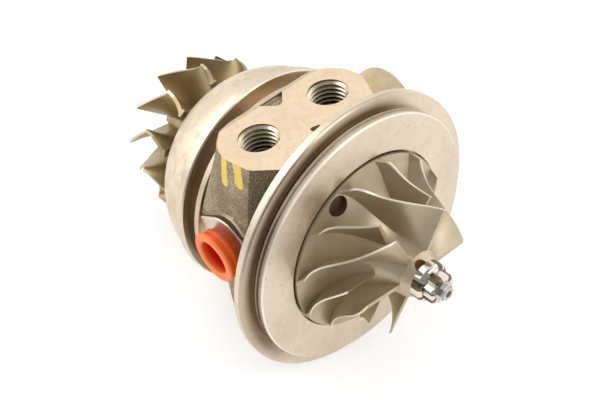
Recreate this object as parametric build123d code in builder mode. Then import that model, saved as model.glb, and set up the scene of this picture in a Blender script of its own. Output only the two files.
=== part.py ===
from build123d import *
from math import cos, hypot, radians, sin
import os

# A turbo cartridge: bearing housing, rotor with both wheels, bearings, seals and a port plug.
# Millimetres. X runs along the shaft towards the compressor, Z is square to the top face.
# The origin is on the shaft's axis, in the seat face of the compressor flange.
# Angles about the shaft start at +Y and grow towards +Z.

# Compressor end of the housing
compressor_flange_radius = 44.6
compressor_flange_thickness = 3.0
compressor_flange_edge = 0.4
spigot_radius = 39.9
spigot_length = 3.4
spigot_edge = 0.4
spigot_groove_offset = 0.9
spigot_groove_width = 0.9
spigot_groove_depth = 0.8
wheel_recess_depth = 2.7

# Turbine end of the housing
between_flanges = 34.5
turbine_flange_radius = 36.2
turbine_flange_thickness = 3.7
turbine_flange_rear_edge = 0.9
turbine_flange_front_edge = 0.4
clamp_groove_width = 3.5
clamp_groove_radius = 30.5
ring_land_radius = 34.5
ring_land_width = 2.3
ring_land_edge = 0.4
nose_root_radius = 22.0
nose_end_radius = 14.0

# Barrel between the flanges
barrel_radius = 30.0
neck_radius = 26.5
neck_length = 8.0
neck_slope = 3.5

# Two oil ports in the top face
top_face_height = 34.7
port_x = -21.0
port_centre_y = -1.15
port_spacing = 26.1
port_radius = 6.0
port_depth = 12.0
port_boss_radius = 11.6
top_face_left_width = 37.0
top_face_right_near = -15.6
top_face_right_far = 15.85
top_corner_x = -14.8
top_corner_y = -20.6
top_corner_radius = 4.3
outline_strip = 0.5
top_body_drop = 22.7
top_body_flare = 5.4
top_body_left_flare = 11.8
top_body_right_taper = 4.0
casting_notch_y = -0.6
casting_notch_reach = 5.4
casting_notch_half_width = 4.4
casting_notch_corner = 2.0
casting_notch_drop = 1.1
casting_pit_x = -12.0
casting_pit_y = -1.9
casting_pit_radius = 0.95
casting_pit_tail = 2.0
casting_pit_tail_radius = 0.3
casting_pit_depth = 1.2

# Coolant port with the plug, on the -Y side
side_port_x = -19.5
side_port_height = 6.7
side_port_radius = 7.0
side_port_depth = 13.5
side_face_distance = 32.3
side_cast_distance = 34.0
side_face_radius = 9.9
side_face_end_width = 9.2
side_face_edge = 0.6
side_boss_root = 20.0
lower_body_left = -24.0
lower_body_right = -14.5
lower_body_slope_top = -22.0
lower_body_foot = 27.5
lower_body_corner = 3.0

# Coolant port on the +Y side
far_port_x = -22.0
far_port_height = 17.0
far_port_radius = 7.0
far_port_depth = 13.0
far_boss_radius = 11.3
far_face_distance = 37.0
far_boss_edge = 2.0

# Oil drain pad underneath
drain_x = -20.0
drain_face_distance = 36.5
drain_port_radius = 7.5
drain_bolt_spacing = 40.0
drain_bolt_radius = 3.4
drain_bolt_depth = 10.0
drain_pad_end_radius = 7.5
drain_pad_middle_radius = 13.0

# Cored spaces and drillings inside the housing
jacket_inner_radius = 15.0
jacket_outer_radius = 23.0
jacket_x = -37.0
jacket_length = 13.5
jacket_arc = 240.0
link_drilling_radius = 3.5
link_aim_angle = 35.0
link_overlap = 1.0
drain_cavity_outer_radius = 20.5
drain_cavity_inner_radius = 10.5
drain_cavity_arc = 70.0
drain_cavity_rise = 1.0
drain_drilling_end = -17.0
bearing_room_back = 3.0
bearing_room_front = 2.0
slinger_cavity_radius = 11.5
slinger_cavity_length = 2.4
oil_drilling_radius = 1.6
oil_drilling_overlap = 1.0
oil_drilling_run_out = 1.6
oil_gallery_radius = 1.2
oil_gallery_circle_radius = 11.5
oil_gallery_angle = 108.0

# Shaft
journal_radius = 4.0
journal_relief_radius = 3.5
stub_radius = 3.0
stub_end = 34.2
stub_tip_edge = 0.5
stub_hex_length = 1.8
stub_hex_radius = 2.2
seal_boss_radius = 8.7
seal_boss_length = 8.5
seal_bore_radius = 9.0
shaft_shoulder_length = 1.3
stub_start = -14.5

# Floating journal bearings and their circlips
bearing_length = 7.2
bearing_wall = 2.91
bearing_shaft_gap = 0.03
bearing_bore_gap = 0.06
bearing_end_float = 0.5
bearing_hole_radius = 0.9
bearing_hole_count = 6
bearing_edge = 0.5
turbine_bearing_x = -48.4
circlip_thickness = 1.0
circlip_inner_radius = 6.0
circlip_grip = 0.5
circlip_play = 0.05
circlip_gap = 0.3
circlip_opening = 60.0

# Thrust pieces
thrust_washer_radius = 8.0
thrust_washer_thickness = 1.4
thrust_washer_room = 0.5
thrust_gap = 0.1
thrust_bearing_thickness = 2.8
thrust_bearing_radius = 15.6
thrust_bearing_bore = 5.2
thrust_collar_radius = 4.9
thrust_pocket_gap = 0.1
thrust_drain_width = 9.0
thrust_drain_radius = 9.0
thrust_pin_radius = 1.2
thrust_pin_circle_radius = 12.4
thrust_pin_depth = 3.0
thrust_pin_gap = 0.02
stack_bore_gap = 0.02

# Seal sleeve, deflector and seal plate
slinger_radius = 8.0
slinger_thickness = 1.2
sleeve_radius = 5.7
sleeve_front = 1.2
piston_ring_width = 1.2
piston_ring_side_gap = 0.1
piston_ring_wall = 1.15
piston_ring_groove_depth = 1.4
piston_ring_wall_gap = 0.02
piston_ring_split = 3.0
compressor_ring_x = -3.2
turbine_ring_x = -54.4
deflector_thickness = 0.8
deflector_bore_radius = 6.6
deflector_rim_wall = 0.9
deflector_opening = 70.0
seal_plate_radius = 22.0
seal_plate_thickness = 6.1
seal_plate_gap = 0.1
seal_plate_bore = 6.0
seal_plate_edge = 0.4
o_ring_radius = 0.85
o_ring_groove_width = 2.2
o_ring_groove_depth = 1.75
snap_ring_thickness = 1.2
snap_ring_inner_radius = 19.6
snap_ring_grip = 1.1
snap_ring_play = 0.1
snap_ring_opening = 40.0
snap_ring_cover = 0.4

# Heat shield
shield_thickness = 1.0
shield_rim_radius = 35.0
shield_end_radius = 28.4
shield_end_x = -59.0
shield_bulge = 1.3
shield_bulge_lean = 0.52
shield_corner = 2.4
shield_bore_radius = 10.2
shield_nose_gap = 0.5

# Compressor wheel
compressor_wheel_radius = 28.15
wheel_side_gap = 0.6
compressor_rim_back = 3.3
wheel_seat_margin = 1.0
wheel_back_hollow = 1.0
compressor_rim_thickness = 1.0
compressor_tip_inset = 0.45
compressor_tip_x = 6.75
inducer_x = 22.65
inducer_radius = 19.7
inducer_hub_x = 23.0
inducer_hub_radius = 7.4
nose_flat_radius = 5.9
nose_x = 25.6
compressor_blade_count = 6
splitter_length = 0.73
compressor_blade_angle = 104.1
compressor_blade_wrap = (-35.3, 45.4, -61.9)
compressor_root_lean = 5.4
full_blade_sections = 8
splitter_blade_sections = 6
compressor_tip_thickness = 0.6
compressor_root_thickness = 1.2
balance_cut_radius = 3.0
balance_cut_circle_radius = 24.4
balance_cut_angle = 115.0
balance_cut_depth = 0.9
nose_cut_radius = 1.8
nose_cut_run_in = 1.0
nose_cut_angle = 100.0
nose_cut_depth = 1.8

# Turbine wheel
turbine_blade_count = 12
turbine_inlet_radius = 27.4
turbine_inlet_x = -70.9
turbine_exducer_radius = 23.9
turbine_exducer_x = -82.7
turbine_back_x = -60.3
turbine_disc_radius = 26.8
turbine_disc_thickness = 1.2
turbine_hub_end_x = -84.0
turbine_hub_end_radius = 7.8
turbine_nose_x = -88.8
turbine_nose_radius = 6.6
turbine_blade_angle = 24.4
turbine_blade_wrap = (-4.4, 26.7)
turbine_root_lean = 7.0
turbine_blade_bow = -0.75
turbine_blade_sections = 7
turbine_tip_thickness = 0.8
turbine_root_thickness = 1.5
turbine_hex_radius = 5.4
turbine_hex_length = 3.0
scallop_radius = 5.8
scallop_depth = 7.5
slant_step = 0.01
blade_root_sink = 0.4

# Lock nut
nut_flange_radius = 5.9
nut_flange_thickness = 3.3
nut_flange_rounding = 1.4
nut_point_radius = 4.7
nut_point_edge = 0.7
nut_height = 6.6

# Port plug
plug_flange_radius = 8.2
plug_flange_thickness = 1.4
plug_face_distance = 38.2
plug_neck_length = 0.9
plug_collar_radius = 7.5
plug_collar_thickness = 1.6
plug_gap = 0.05
plug_wall = 1.6
plug_floor = 1.2
plug_length = 14.5
plug_end_edge = 0.5
plug_flange_edge = 0.45

# Angles about the shaft
side_angle = 0.0
top_angle = 90.0
low_angle = 270.0

# Places worked out from the sizes above
compressor_flange_back = -compressor_flange_thickness
turbine_flange_front = compressor_flange_back - between_flanges
turbine_flange_back = turbine_flange_front - turbine_flange_thickness
clamp_groove_end = turbine_flange_front + clamp_groove_width
body_left = clamp_groove_end + ring_land_width
barrel_end = compressor_flange_back - neck_length
nose_end_x = shield_end_x + shield_thickness + shield_nose_gap
wheel_recess_radius = compressor_wheel_radius + wheel_side_gap
recess_floor = spigot_length - wheel_recess_depth

bearing_radius = journal_radius + bearing_shaft_gap + bearing_wall
bearing_bore = bearing_radius + bearing_bore_gap
compressor_bearing_x = stub_start - bearing_end_float - bearing_length
circlip_groove_radius = bearing_bore + circlip_grip + circlip_play
turbine_circlip_places = [
    turbine_bearing_x - circlip_gap - circlip_thickness,
    turbine_bearing_x + bearing_length + circlip_gap,
]
compressor_circlip_x = compressor_bearing_x - circlip_gap - circlip_thickness
relief_start = turbine_circlip_places[1] + bearing_room_back
relief_end = compressor_circlip_x - bearing_room_front

seal_boss_end = turbine_back_x + seal_boss_length
slinger_cavity_end = turbine_circlip_places[0] - circlip_thickness / 2
slinger_cavity_start = slinger_cavity_end - slinger_cavity_length
thrust_floor = stub_start + thrust_washer_thickness + thrust_gap
thrust_bearing_front = thrust_floor + thrust_bearing_thickness
slinger_back = thrust_bearing_front + thrust_gap
thrust_pocket_radius = thrust_bearing_radius + thrust_pocket_gap
snap_ring_front = recess_floor - snap_ring_cover
snap_ring_back = snap_ring_front - snap_ring_thickness
seal_plate_back = snap_ring_back - seal_plate_thickness
deflector_back = seal_plate_back - deflector_thickness
plate_pocket_radius = seal_plate_radius + seal_plate_gap
snap_ring_radius = plate_pocket_radius + snap_ring_grip
stack_bore = stub_radius + stack_bore_gap
groove_room = piston_ring_width / 2 + piston_ring_side_gap

port_places = [
    (port_x, port_centre_y - port_spacing / 2),
    (port_x, port_centre_y + port_spacing / 2),
]


def around(radius, angle, x=0.0):
    """A point at a radius and an angle about the shaft."""
    return Vector(x, radius * cos(radians(angle)), radius * sin(radians(angle)))


def turn(points, mode=Mode.ADD, start=90.0, arc=360.0):
    """Turns a closed outline of (x, radius) points about the shaft."""
    plane = Plane(origin=(0, 0, 0), x_dir=(1, 0, 0), z_dir=Vector(1, 0, 0).cross(around(1, start)))
    with BuildSketch(plane) as profile:
        with BuildLine():
            Polyline(*points, close=True)
        make_face()
    revolve(profile.sketch, axis=Axis.X, revolution_arc=arc, mode=mode)


def ring(x, width, inner, outer, mode=Mode.ADD, start=90.0, arc=360.0):
    """A plain ring, or a split one where the arc is under a full turn."""
    turn([(x, inner), (x + width, inner), (x + width, outer), (x, outer)], mode, start, arc)


def split_ring(x, width, inner, outer, opening, middle):
    """A ring with an opening whose middle lies at an angle about the shaft."""
    ring(x, width, inner, outer, start=middle + opening / 2, arc=360 - opening)


def drill(start, end, radius):
    """Cuts a round hole from one point to another."""
    path = Vector(end) - Vector(start)
    with BuildSketch(Plane(origin=start, z_dir=path)) as hole:
        Circle(radius)
    extrude(hole.sketch, amount=path.length, mode=Mode.SUBTRACT)


def finish(part, name):
    """Labels a finished piece and writes it."""
    part.label = name
    export_step(part, f"parts/{name}.step")


def meridian(share, back, front, outer, inner):
    """A quarter ellipse that starts square to the shaft and ends along it."""
    x = front + (back - front) * cos(radians(90 * share))
    radius = outer + (inner - outer) * sin(radians(90 * share))
    return x, radius


def wrap(share, start_angle, terms):
    """The angle of a blade along its length, as a polynomial."""
    return start_angle + sum(term * share ** (n + 1) for n, term in enumerate(terms))


def slant(line, share):
    """How much wider a blade is along the tangent than square to itself."""
    low = line(share - slant_step)
    high = line(share + slant_step)
    along = hypot(high[0] - low[0], high[1] - low[1])
    sideways = line(share)[1] * radians(high[2] - low[2])
    return hypot(along, sideways) / along


def blade_section(root_line, tip_line, share, root_thickness, tip_thickness, bow=0.0):
    """One flat section of a blade, drawn from below the hub's skin to the tip, bowed sideways."""
    root_x, root_radius, root_angle = root_line(share)
    tip_x, tip_radius, tip_angle = tip_line(share)
    middle = (root_angle + tip_angle) / 2
    tangent = around(1, middle + 90)
    root = around(root_radius, root_angle, root_x)
    tip = around(tip_radius, tip_angle, tip_x)
    base = root - (tip - root).normalized() * blade_root_sink
    rise = tip - base
    plane = Plane(origin=base, x_dir=tangent, z_dir=tangent.cross(rise))
    lean = rise.dot(tangent)
    height = rise.dot(plane.y_dir)
    root_half = root_thickness * slant(root_line, share) / 2
    tip_half = tip_thickness * slant(tip_line, share) / 2
    middle_half = (root_half + tip_half) / 2
    with BuildSketch(plane) as section:
        with BuildLine():
            for side in (-1, 1):
                Spline(
                    (side * root_half, 0),
                    (lean / 2 + bow + side * middle_half, height / 2),
                    (lean + side * tip_half, height),
                )
            Line((-root_half, 0), (root_half, 0))
            Line((lean - tip_half, height), (lean + tip_half, height))
        make_face()
    return section.sketch


os.makedirs("parts", exist_ok=True)

# Upper body of the casting: it spreads from the top face down to the coolant port
with BuildPart() as upper_body:
    for drop, flare, left_flare, taper in (
        (0.0, 0.0, 0.0, 0.0),
        (top_body_drop, top_body_flare, top_body_left_flare, top_body_right_taper),
    ):
        with BuildSketch(Plane.XY.offset(top_face_height - drop)):
            for side, (place_x, place_y) in zip((-1, 1), port_places):
                with Locations((place_x, place_y + side * flare)):
                    Circle(port_boss_radius)
            with Locations((body_left, port_centre_y)):
                left_width = top_face_left_width + 2 * left_flare
                Rectangle(outline_strip, left_width, align=(Align.MIN, Align.CENTER))
            with Locations((top_corner_x, top_corner_y - flare)):
                Circle(top_corner_radius)
            with Locations((compressor_flange_back, top_face_right_near + taper)):
                right_width = top_face_right_far - top_face_right_near - taper
                Rectangle(outline_strip, right_width, align=(Align.MAX, Align.MIN))
            make_hull()
    loft(ruled=True)

# Raised boss of the plugged coolant port, with its flat face drawn out towards the turbine end
with BuildPart() as side_boss:
    with BuildSketch(Plane.XZ.offset(side_face_distance)):
        with Locations((side_port_x, side_port_height)):
            Circle(side_face_radius)
        with Locations((body_left, side_port_height)):
            Rectangle(outline_strip, side_face_end_width, align=(Align.MIN, Align.CENTER))
        make_hull()
    extrude(amount=side_boss_root - side_face_distance)
    side_rim = faces().sort_by(Axis.Y)[0].edges().sort_by(Axis.X)[1:]
    fillet(side_rim, radius=side_face_edge)

# Cast wall under the plugged port, sloping in to the drain pad
with BuildPart() as lower_body:
    with BuildSketch(Plane.YZ.offset(lower_body_left)):
        with BuildLine():
            Polyline(
                (0, 0),
                (-side_cast_distance, 0),
                (-side_cast_distance, lower_body_slope_top),
                (-lower_body_foot, -drain_face_distance),
                (0, -drain_face_distance),
                close=True,
            )
        make_face()
    extrude(amount=lower_body_right - lower_body_left)
    outer_edges = edges().filter_by(Axis.X, reverse=True).sort_by(Axis.Y)[:4]
    fillet(outer_edges, radius=lower_body_corner)

# Bearing housing: the one casting that carries everything
with BuildPart() as bearing_housing:
    # Barrel with the ring land beside the clamp groove
    turn(
        [
            (turbine_flange_front, 0),
            (turbine_flange_front, clamp_groove_radius),
            (clamp_groove_end, clamp_groove_radius),
            (clamp_groove_end, ring_land_radius - ring_land_edge),
            (clamp_groove_end + ring_land_edge, ring_land_radius),
            (body_left, ring_land_radius),
            (body_left, barrel_radius),
            (barrel_end - neck_slope, barrel_radius),
            (barrel_end, neck_radius),
            (compressor_flange_back, neck_radius),
            (compressor_flange_back, 0),
        ]
    )
    add(upper_body.part)
    add(side_boss.part)
    add(lower_body.part)
    # Round boss of the open coolant port
    with BuildSketch(Plane.XZ.offset(-far_face_distance)):
        with Locations((far_port_x, far_port_height)):
            Circle(far_boss_radius)
    extrude(amount=far_face_distance - jacket_outer_radius / 2)
    far_rim = edges().filter_by(GeomType.CIRCLE).sort_by(Axis.Y)[-1]
    fillet(far_rim, radius=far_boss_edge)
    # Drain pad
    with BuildSketch(Plane.XY.offset(-drain_face_distance)):
        with Locations((drain_x, 0)):
            Circle(drain_pad_middle_radius)
        with Locations((drain_x, -drain_bolt_spacing / 2), (drain_x, drain_bolt_spacing / 2)):
            Circle(drain_pad_end_radius)
        make_hull()
    extrude(amount=drain_face_distance)
    # Compressor flange and spigot
    groove_end = spigot_groove_offset + spigot_groove_width
    turn(
        [
            (compressor_flange_back, 0),
            (compressor_flange_back, compressor_flange_radius - compressor_flange_edge),
            (compressor_flange_back + compressor_flange_edge, compressor_flange_radius),
            (-compressor_flange_edge, compressor_flange_radius),
            (0, compressor_flange_radius - compressor_flange_edge),
            (0, spigot_radius),
            (spigot_groove_offset, spigot_radius),
            (spigot_groove_offset, spigot_radius - spigot_groove_depth),
            (groove_end, spigot_radius - spigot_groove_depth),
            (groove_end, spigot_radius),
            (spigot_length - spigot_edge, spigot_radius),
            (spigot_length, spigot_radius - spigot_edge),
            (spigot_length, 0),
        ]
    )
    # Turbine flange and the nose that carries the seal bore
    turn(
        [
            (nose_end_x, 0),
            (nose_end_x, nose_end_radius),
            (turbine_flange_back, nose_root_radius),
            (turbine_flange_back, turbine_flange_radius - turbine_flange_rear_edge),
            (turbine_flange_back + turbine_flange_rear_edge, turbine_flange_radius),
            (turbine_flange_front - turbine_flange_front_edge, turbine_flange_radius),
            (turbine_flange_front, turbine_flange_radius - turbine_flange_front_edge),
            (turbine_flange_front, 0),
        ]
    )
    # Bore from the seal at the turbine end to the wheel recess
    turn(
        [
            (nose_end_x, 0),
            (nose_end_x, seal_bore_radius),
            (slinger_cavity_start, seal_bore_radius),
            (slinger_cavity_start, slinger_cavity_radius),
            (slinger_cavity_end, slinger_cavity_radius),
            (slinger_cavity_end, bearing_bore),
            (stub_start - bearing_end_float / 2, bearing_bore),
            (stub_start - bearing_end_float / 2, thrust_washer_radius + thrust_washer_room),
            (thrust_floor, thrust_washer_radius + thrust_washer_room),
            (thrust_floor, thrust_pocket_radius),
            (deflector_back, thrust_pocket_radius),
            (deflector_back, plate_pocket_radius),
            (recess_floor, plate_pocket_radius),
            (recess_floor, wheel_recess_radius),
            (spigot_length, wheel_recess_radius),
            (spigot_length, 0),
        ],
        Mode.SUBTRACT,
    )
    # Grooves for the circlips and the snap ring
    for groove_x in turbine_circlip_places + [compressor_circlip_x]:
        groove_width = circlip_thickness + circlip_play
        ring(groove_x, groove_width, 0, circlip_groove_radius, Mode.SUBTRACT)
    ring(
        snap_ring_back,
        snap_ring_thickness + snap_ring_play,
        0,
        snap_ring_radius + snap_ring_play,
        Mode.SUBTRACT,
    )
    # Cored drain space under both bearings
    turn(
        [
            (slinger_cavity_start, seal_bore_radius),
            (slinger_cavity_start, slinger_cavity_radius + drain_cavity_rise),
            (turbine_flange_back, drain_cavity_outer_radius),
            (deflector_back, drain_cavity_outer_radius),
            (deflector_back, drain_cavity_inner_radius),
            (relief_end, drain_cavity_inner_radius),
            (relief_end, 0),
            (relief_start, 0),
            (relief_start, drain_cavity_inner_radius),
            (slinger_cavity_end, drain_cavity_inner_radius),
            (slinger_cavity_end, seal_bore_radius),
        ],
        Mode.SUBTRACT,
        start=low_angle - drain_cavity_arc / 2,
        arc=drain_cavity_arc,
    )
    drill((drain_x, 0, -drain_face_distance), (drain_x, 0, drain_drilling_end), drain_port_radius)
    for side in (-1, 1):
        bolt_start = Vector(drain_x, side * drain_bolt_spacing / 2, -drain_face_distance)
        drill(bolt_start, bolt_start + Vector(0, 0, drain_bolt_depth), drain_bolt_radius)
    # Coolant jacket over the bearings
    ring(
        jacket_x,
        jacket_length,
        jacket_inner_radius,
        jacket_outer_radius,
        Mode.SUBTRACT,
        start=top_angle - jacket_arc / 2,
        arc=jacket_arc,
    )
    # Top ports with their oil drillings, which run out inside the bearing bore
    bearing_middle_x = compressor_bearing_x + bearing_length / 2
    for place_x, place_y in port_places:
        mouth = Vector(place_x, place_y, top_face_height)
        floor = mouth - Vector(0, 0, port_depth)
        drill(mouth, floor, port_radius)
        outlet = Vector(bearing_middle_x, place_y, floor.Z + oil_drilling_overlap)
        inlet = Vector(bearing_middle_x, 0, bearing_bore - oil_drilling_overlap)
        run_out = (inlet - outlet).normalized() * oil_drilling_run_out
        drill(outlet, inlet + run_out, oil_drilling_radius)
    # Low spot and pit that the casting left in the top face
    with BuildSketch(Plane.XY.offset(top_face_height)):
        with BuildLine():
            low_spot = FilletPolyline(
                (body_left, casting_notch_y - casting_notch_half_width),
                (body_left + casting_notch_reach, casting_notch_y),
                (body_left, casting_notch_y + casting_notch_half_width),
                radius=casting_notch_corner,
            )
            Line(low_spot @ 1, low_spot @ 0)
        make_face()
    extrude(amount=-casting_notch_drop, mode=Mode.SUBTRACT)
    with BuildSketch(Plane.XY.offset(top_face_height)):
        with Locations((casting_pit_x, casting_pit_y)):
            Circle(casting_pit_radius)
        with Locations((casting_pit_x, casting_pit_y + casting_pit_tail)):
            Circle(casting_pit_tail_radius)
        make_hull()
    extrude(amount=-casting_pit_depth, mode=Mode.SUBTRACT)
    # Lengthwise oil gallery with its feed to the turbine bearing
    feed_x = turbine_bearing_x + bearing_length / 2
    gallery_start = around(oil_gallery_circle_radius, oil_gallery_angle, thrust_floor)
    gallery_end = around(oil_gallery_circle_radius, oil_gallery_angle, feed_x - oil_gallery_radius)
    drill(gallery_start, gallery_end, oil_gallery_radius)
    drill(
        around(oil_gallery_circle_radius, oil_gallery_angle, feed_x),
        around(bearing_bore - oil_drilling_overlap, oil_gallery_angle, feed_x),
        oil_gallery_radius,
    )
    # Plugged coolant port, with its round spotface cut into the wall below
    with BuildSketch(Plane.XZ.offset(side_face_distance)):
        with Locations((side_port_x, side_port_height)):
            Circle(side_face_radius)
    extrude(amount=side_cast_distance - side_face_distance, mode=Mode.SUBTRACT)
    side_mouth = Vector(side_port_x, -side_face_distance, side_port_height)
    drill(side_mouth, side_mouth + Vector(0, side_port_depth, 0), side_port_radius)
    # Open coolant port with its drilling to the jacket
    far_mouth = Vector(far_port_x, far_face_distance, far_port_height)
    far_floor = far_mouth - Vector(0, far_port_depth, 0)
    drill(far_mouth, far_floor, far_port_radius)
    jacket_middle_radius = (jacket_inner_radius + jacket_outer_radius) / 2
    link_aim = around(jacket_middle_radius, link_aim_angle, jacket_x + jacket_length / 2)
    drill(far_floor + Vector(0, link_overlap, 0), link_aim, link_drilling_radius)
    # Pin holes behind the thrust bearing
    for pin_angle in (side_angle, side_angle + 180):
        drill(
            around(thrust_pin_circle_radius, pin_angle, thrust_floor),
            around(thrust_pin_circle_radius, pin_angle, thrust_floor - thrust_pin_depth),
            thrust_pin_radius + thrust_pin_gap,
        )
finish(bearing_housing.part, "bearing_housing")

# Heat shield: a pressed cup that stands on the turbine flange
with BuildPart() as heat_shield:
    rim = Vector(turbine_flange_back, shield_rim_radius)
    shoulder = Vector(shield_end_x + shield_corner, shield_end_radius)
    middle = (rim + shoulder) * 0.5 + Vector(-shield_bulge * shield_bulge_lean, shield_bulge)
    with BuildSketch(Plane.XZ):
        with BuildLine():
            dome = ThreePointArc(rim, middle, shoulder)
            end_face_corner = (shield_end_x, shield_end_radius - shield_corner)
            bend = TangentArc(shoulder, end_face_corner, tangent=dome % 1)
            Line(bend @ 1, (shield_end_x, shield_bore_radius))
            offset(amount=shield_thickness, side=Side.LEFT)
        make_face()
        # The rim is trimmed flat against the flange
        with Locations((turbine_flange_back, 0)):
            Rectangle(
                shield_thickness,
                shield_rim_radius + shield_thickness,
                align=(Align.MIN, Align.MIN),
                mode=Mode.SUBTRACT,
            )
    revolve(axis=Axis.X)
finish(heat_shield.part, "heat_shield")

# Rotor shaft: seal boss, two journals and the stub that carries the stack
with BuildPart() as rotor_shaft:
    boss_groove_bottom = seal_boss_radius - piston_ring_groove_depth
    relief_slope = journal_radius - journal_relief_radius
    turn(
        [
            (turbine_back_x, 0),
            (turbine_back_x, seal_boss_radius),
            (turbine_ring_x - groove_room, seal_boss_radius),
            (turbine_ring_x - groove_room, boss_groove_bottom),
            (turbine_ring_x + groove_room, boss_groove_bottom),
            (turbine_ring_x + groove_room, seal_boss_radius),
            (seal_boss_end, seal_boss_radius),
            (seal_boss_end, journal_radius + shaft_shoulder_length),
            (seal_boss_end + shaft_shoulder_length, journal_radius),
            (relief_start, journal_radius),
            (relief_start + relief_slope, journal_relief_radius),
            (relief_end - relief_slope, journal_relief_radius),
            (relief_end, journal_radius),
            (stub_start, journal_radius),
            (stub_start, stub_radius),
            (stub_end - stub_tip_edge, stub_radius),
            (stub_end, stub_radius - stub_tip_edge),
            (stub_end, 0),
        ]
    )
    # Six flats on the tip, to hold the shaft while the nut is turned
    with BuildSketch(Plane.YZ.offset(stub_end - stub_hex_length)):
        Circle(nut_point_radius)
        RegularPolygon(stub_hex_radius, 6, mode=Mode.SUBTRACT)
    extrude(amount=stub_hex_length, mode=Mode.SUBTRACT)
finish(rotor_shaft.part, "rotor_shaft")

# Piston rings: each springs out against its bore and stands still
with BuildPart() as turbine_piston_ring:
    ring_radius = seal_bore_radius - piston_ring_wall_gap
    ring_x = turbine_ring_x - piston_ring_width / 2
    split_ring(
        ring_x,
        piston_ring_width,
        ring_radius - piston_ring_wall,
        ring_radius,
        piston_ring_split,
        top_angle,
    )
finish(turbine_piston_ring.part, "turbine_piston_ring")

with BuildPart() as compressor_piston_ring:
    ring_radius = seal_plate_bore - piston_ring_wall_gap
    ring_x = compressor_ring_x - piston_ring_width / 2
    split_ring(
        ring_x,
        piston_ring_width,
        ring_radius - piston_ring_wall,
        ring_radius,
        piston_ring_split,
        top_angle,
    )
finish(compressor_piston_ring.part, "compressor_piston_ring")

# Floating journal bearings with radial oil holes
for bearing_name, bearing_x in (
    ("turbine_journal_bearing", turbine_bearing_x),
    ("compressor_journal_bearing", compressor_bearing_x),
):
    bearing_end = bearing_x + bearing_length
    with BuildPart() as journal_bearing:
        turn(
            [
                (bearing_x, journal_radius + bearing_shaft_gap),
                (bearing_end, journal_radius + bearing_shaft_gap),
                (bearing_end, bearing_radius - bearing_edge),
                (bearing_end - bearing_edge, bearing_radius),
                (bearing_x + bearing_edge, bearing_radius),
                (bearing_x, bearing_radius - bearing_edge),
            ]
        )
        for hole in range(bearing_hole_count):
            hole_angle = 360 * hole / bearing_hole_count
            hole_x = bearing_x + bearing_length / 2
            drill(
                around(bearing_radius + 1, hole_angle, hole_x),
                around(journal_radius - 1, hole_angle, hole_x),
                bearing_hole_radius,
            )
    finish(journal_bearing.part, bearing_name)

# Circlips that keep the journal bearings in place
with BuildPart() as turbine_bearing_circlips:
    for clip_x in turbine_circlip_places:
        split_ring(
            clip_x,
            circlip_thickness,
            circlip_inner_radius,
            bearing_bore + circlip_grip,
            circlip_opening,
            low_angle,
        )
finish(turbine_bearing_circlips.part, "turbine_bearing_circlips")

with BuildPart() as compressor_bearing_circlip:
    split_ring(
        compressor_circlip_x,
        circlip_thickness,
        circlip_inner_radius,
        bearing_bore + circlip_grip,
        circlip_opening,
        low_angle,
    )
finish(compressor_bearing_circlip.part, "compressor_bearing_circlip")

# Thrust washer, collar and bearing
with BuildPart() as thrust_washer:
    ring(stub_start, thrust_washer_thickness, stack_bore, thrust_washer_radius)
finish(thrust_washer.part, "thrust_washer")

with BuildPart() as thrust_collar:
    collar_x = stub_start + thrust_washer_thickness
    ring(collar_x, slinger_back - collar_x, stack_bore, thrust_collar_radius)
finish(thrust_collar.part, "thrust_collar")

with BuildPart() as thrust_bearing:
    ring(thrust_floor, thrust_bearing_thickness, thrust_bearing_bore, thrust_bearing_radius)
    with BuildSketch(Plane.YZ.offset(thrust_floor)):
        with Locations((0, -thrust_drain_radius)):
            Rectangle(thrust_drain_width, thrust_bearing_radius, align=(Align.CENTER, Align.MAX))
        with PolarLocations(thrust_pin_circle_radius, 2):
            Circle(thrust_pin_radius + thrust_pin_gap)
    extrude(amount=thrust_bearing_thickness, mode=Mode.SUBTRACT)
finish(thrust_bearing.part, "thrust_bearing")

with BuildPart() as thrust_bearing_pins:
    with BuildSketch(Plane.YZ.offset(thrust_floor - thrust_pin_depth)):
        with PolarLocations(thrust_pin_circle_radius, 2):
            Circle(thrust_pin_radius)
    extrude(amount=thrust_pin_depth + thrust_bearing_thickness)
finish(thrust_bearing_pins.part, "thrust_bearing_pins")

# Oil deflector: a sheet cup that presses the thrust bearing against its floor
with BuildPart() as oil_deflector:
    ring(deflector_back, deflector_thickness, deflector_bore_radius, seal_plate_radius)
    rim_radius = thrust_bearing_radius
    ring(
        thrust_bearing_front,
        deflector_back - thrust_bearing_front,
        rim_radius - deflector_rim_wall,
        rim_radius,
        start=low_angle + deflector_opening / 2,
        arc=360 - deflector_opening,
    )
finish(oil_deflector.part, "oil_deflector")

# Seal sleeve: slinger and ring carrier between the thrust collar and the wheel
with BuildPart() as seal_sleeve:
    sleeve_groove_bottom = sleeve_radius - piston_ring_groove_depth
    turn(
        [
            (slinger_back, stack_bore),
            (slinger_back, slinger_radius),
            (slinger_back + slinger_thickness, slinger_radius),
            (slinger_back + slinger_thickness, sleeve_radius),
            (compressor_ring_x - groove_room, sleeve_radius),
            (compressor_ring_x - groove_room, sleeve_groove_bottom),
            (compressor_ring_x + groove_room, sleeve_groove_bottom),
            (compressor_ring_x + groove_room, sleeve_radius),
            (sleeve_front, sleeve_radius),
            (sleeve_front, stack_bore),
        ]
    )
finish(seal_sleeve.part, "seal_sleeve")

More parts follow.
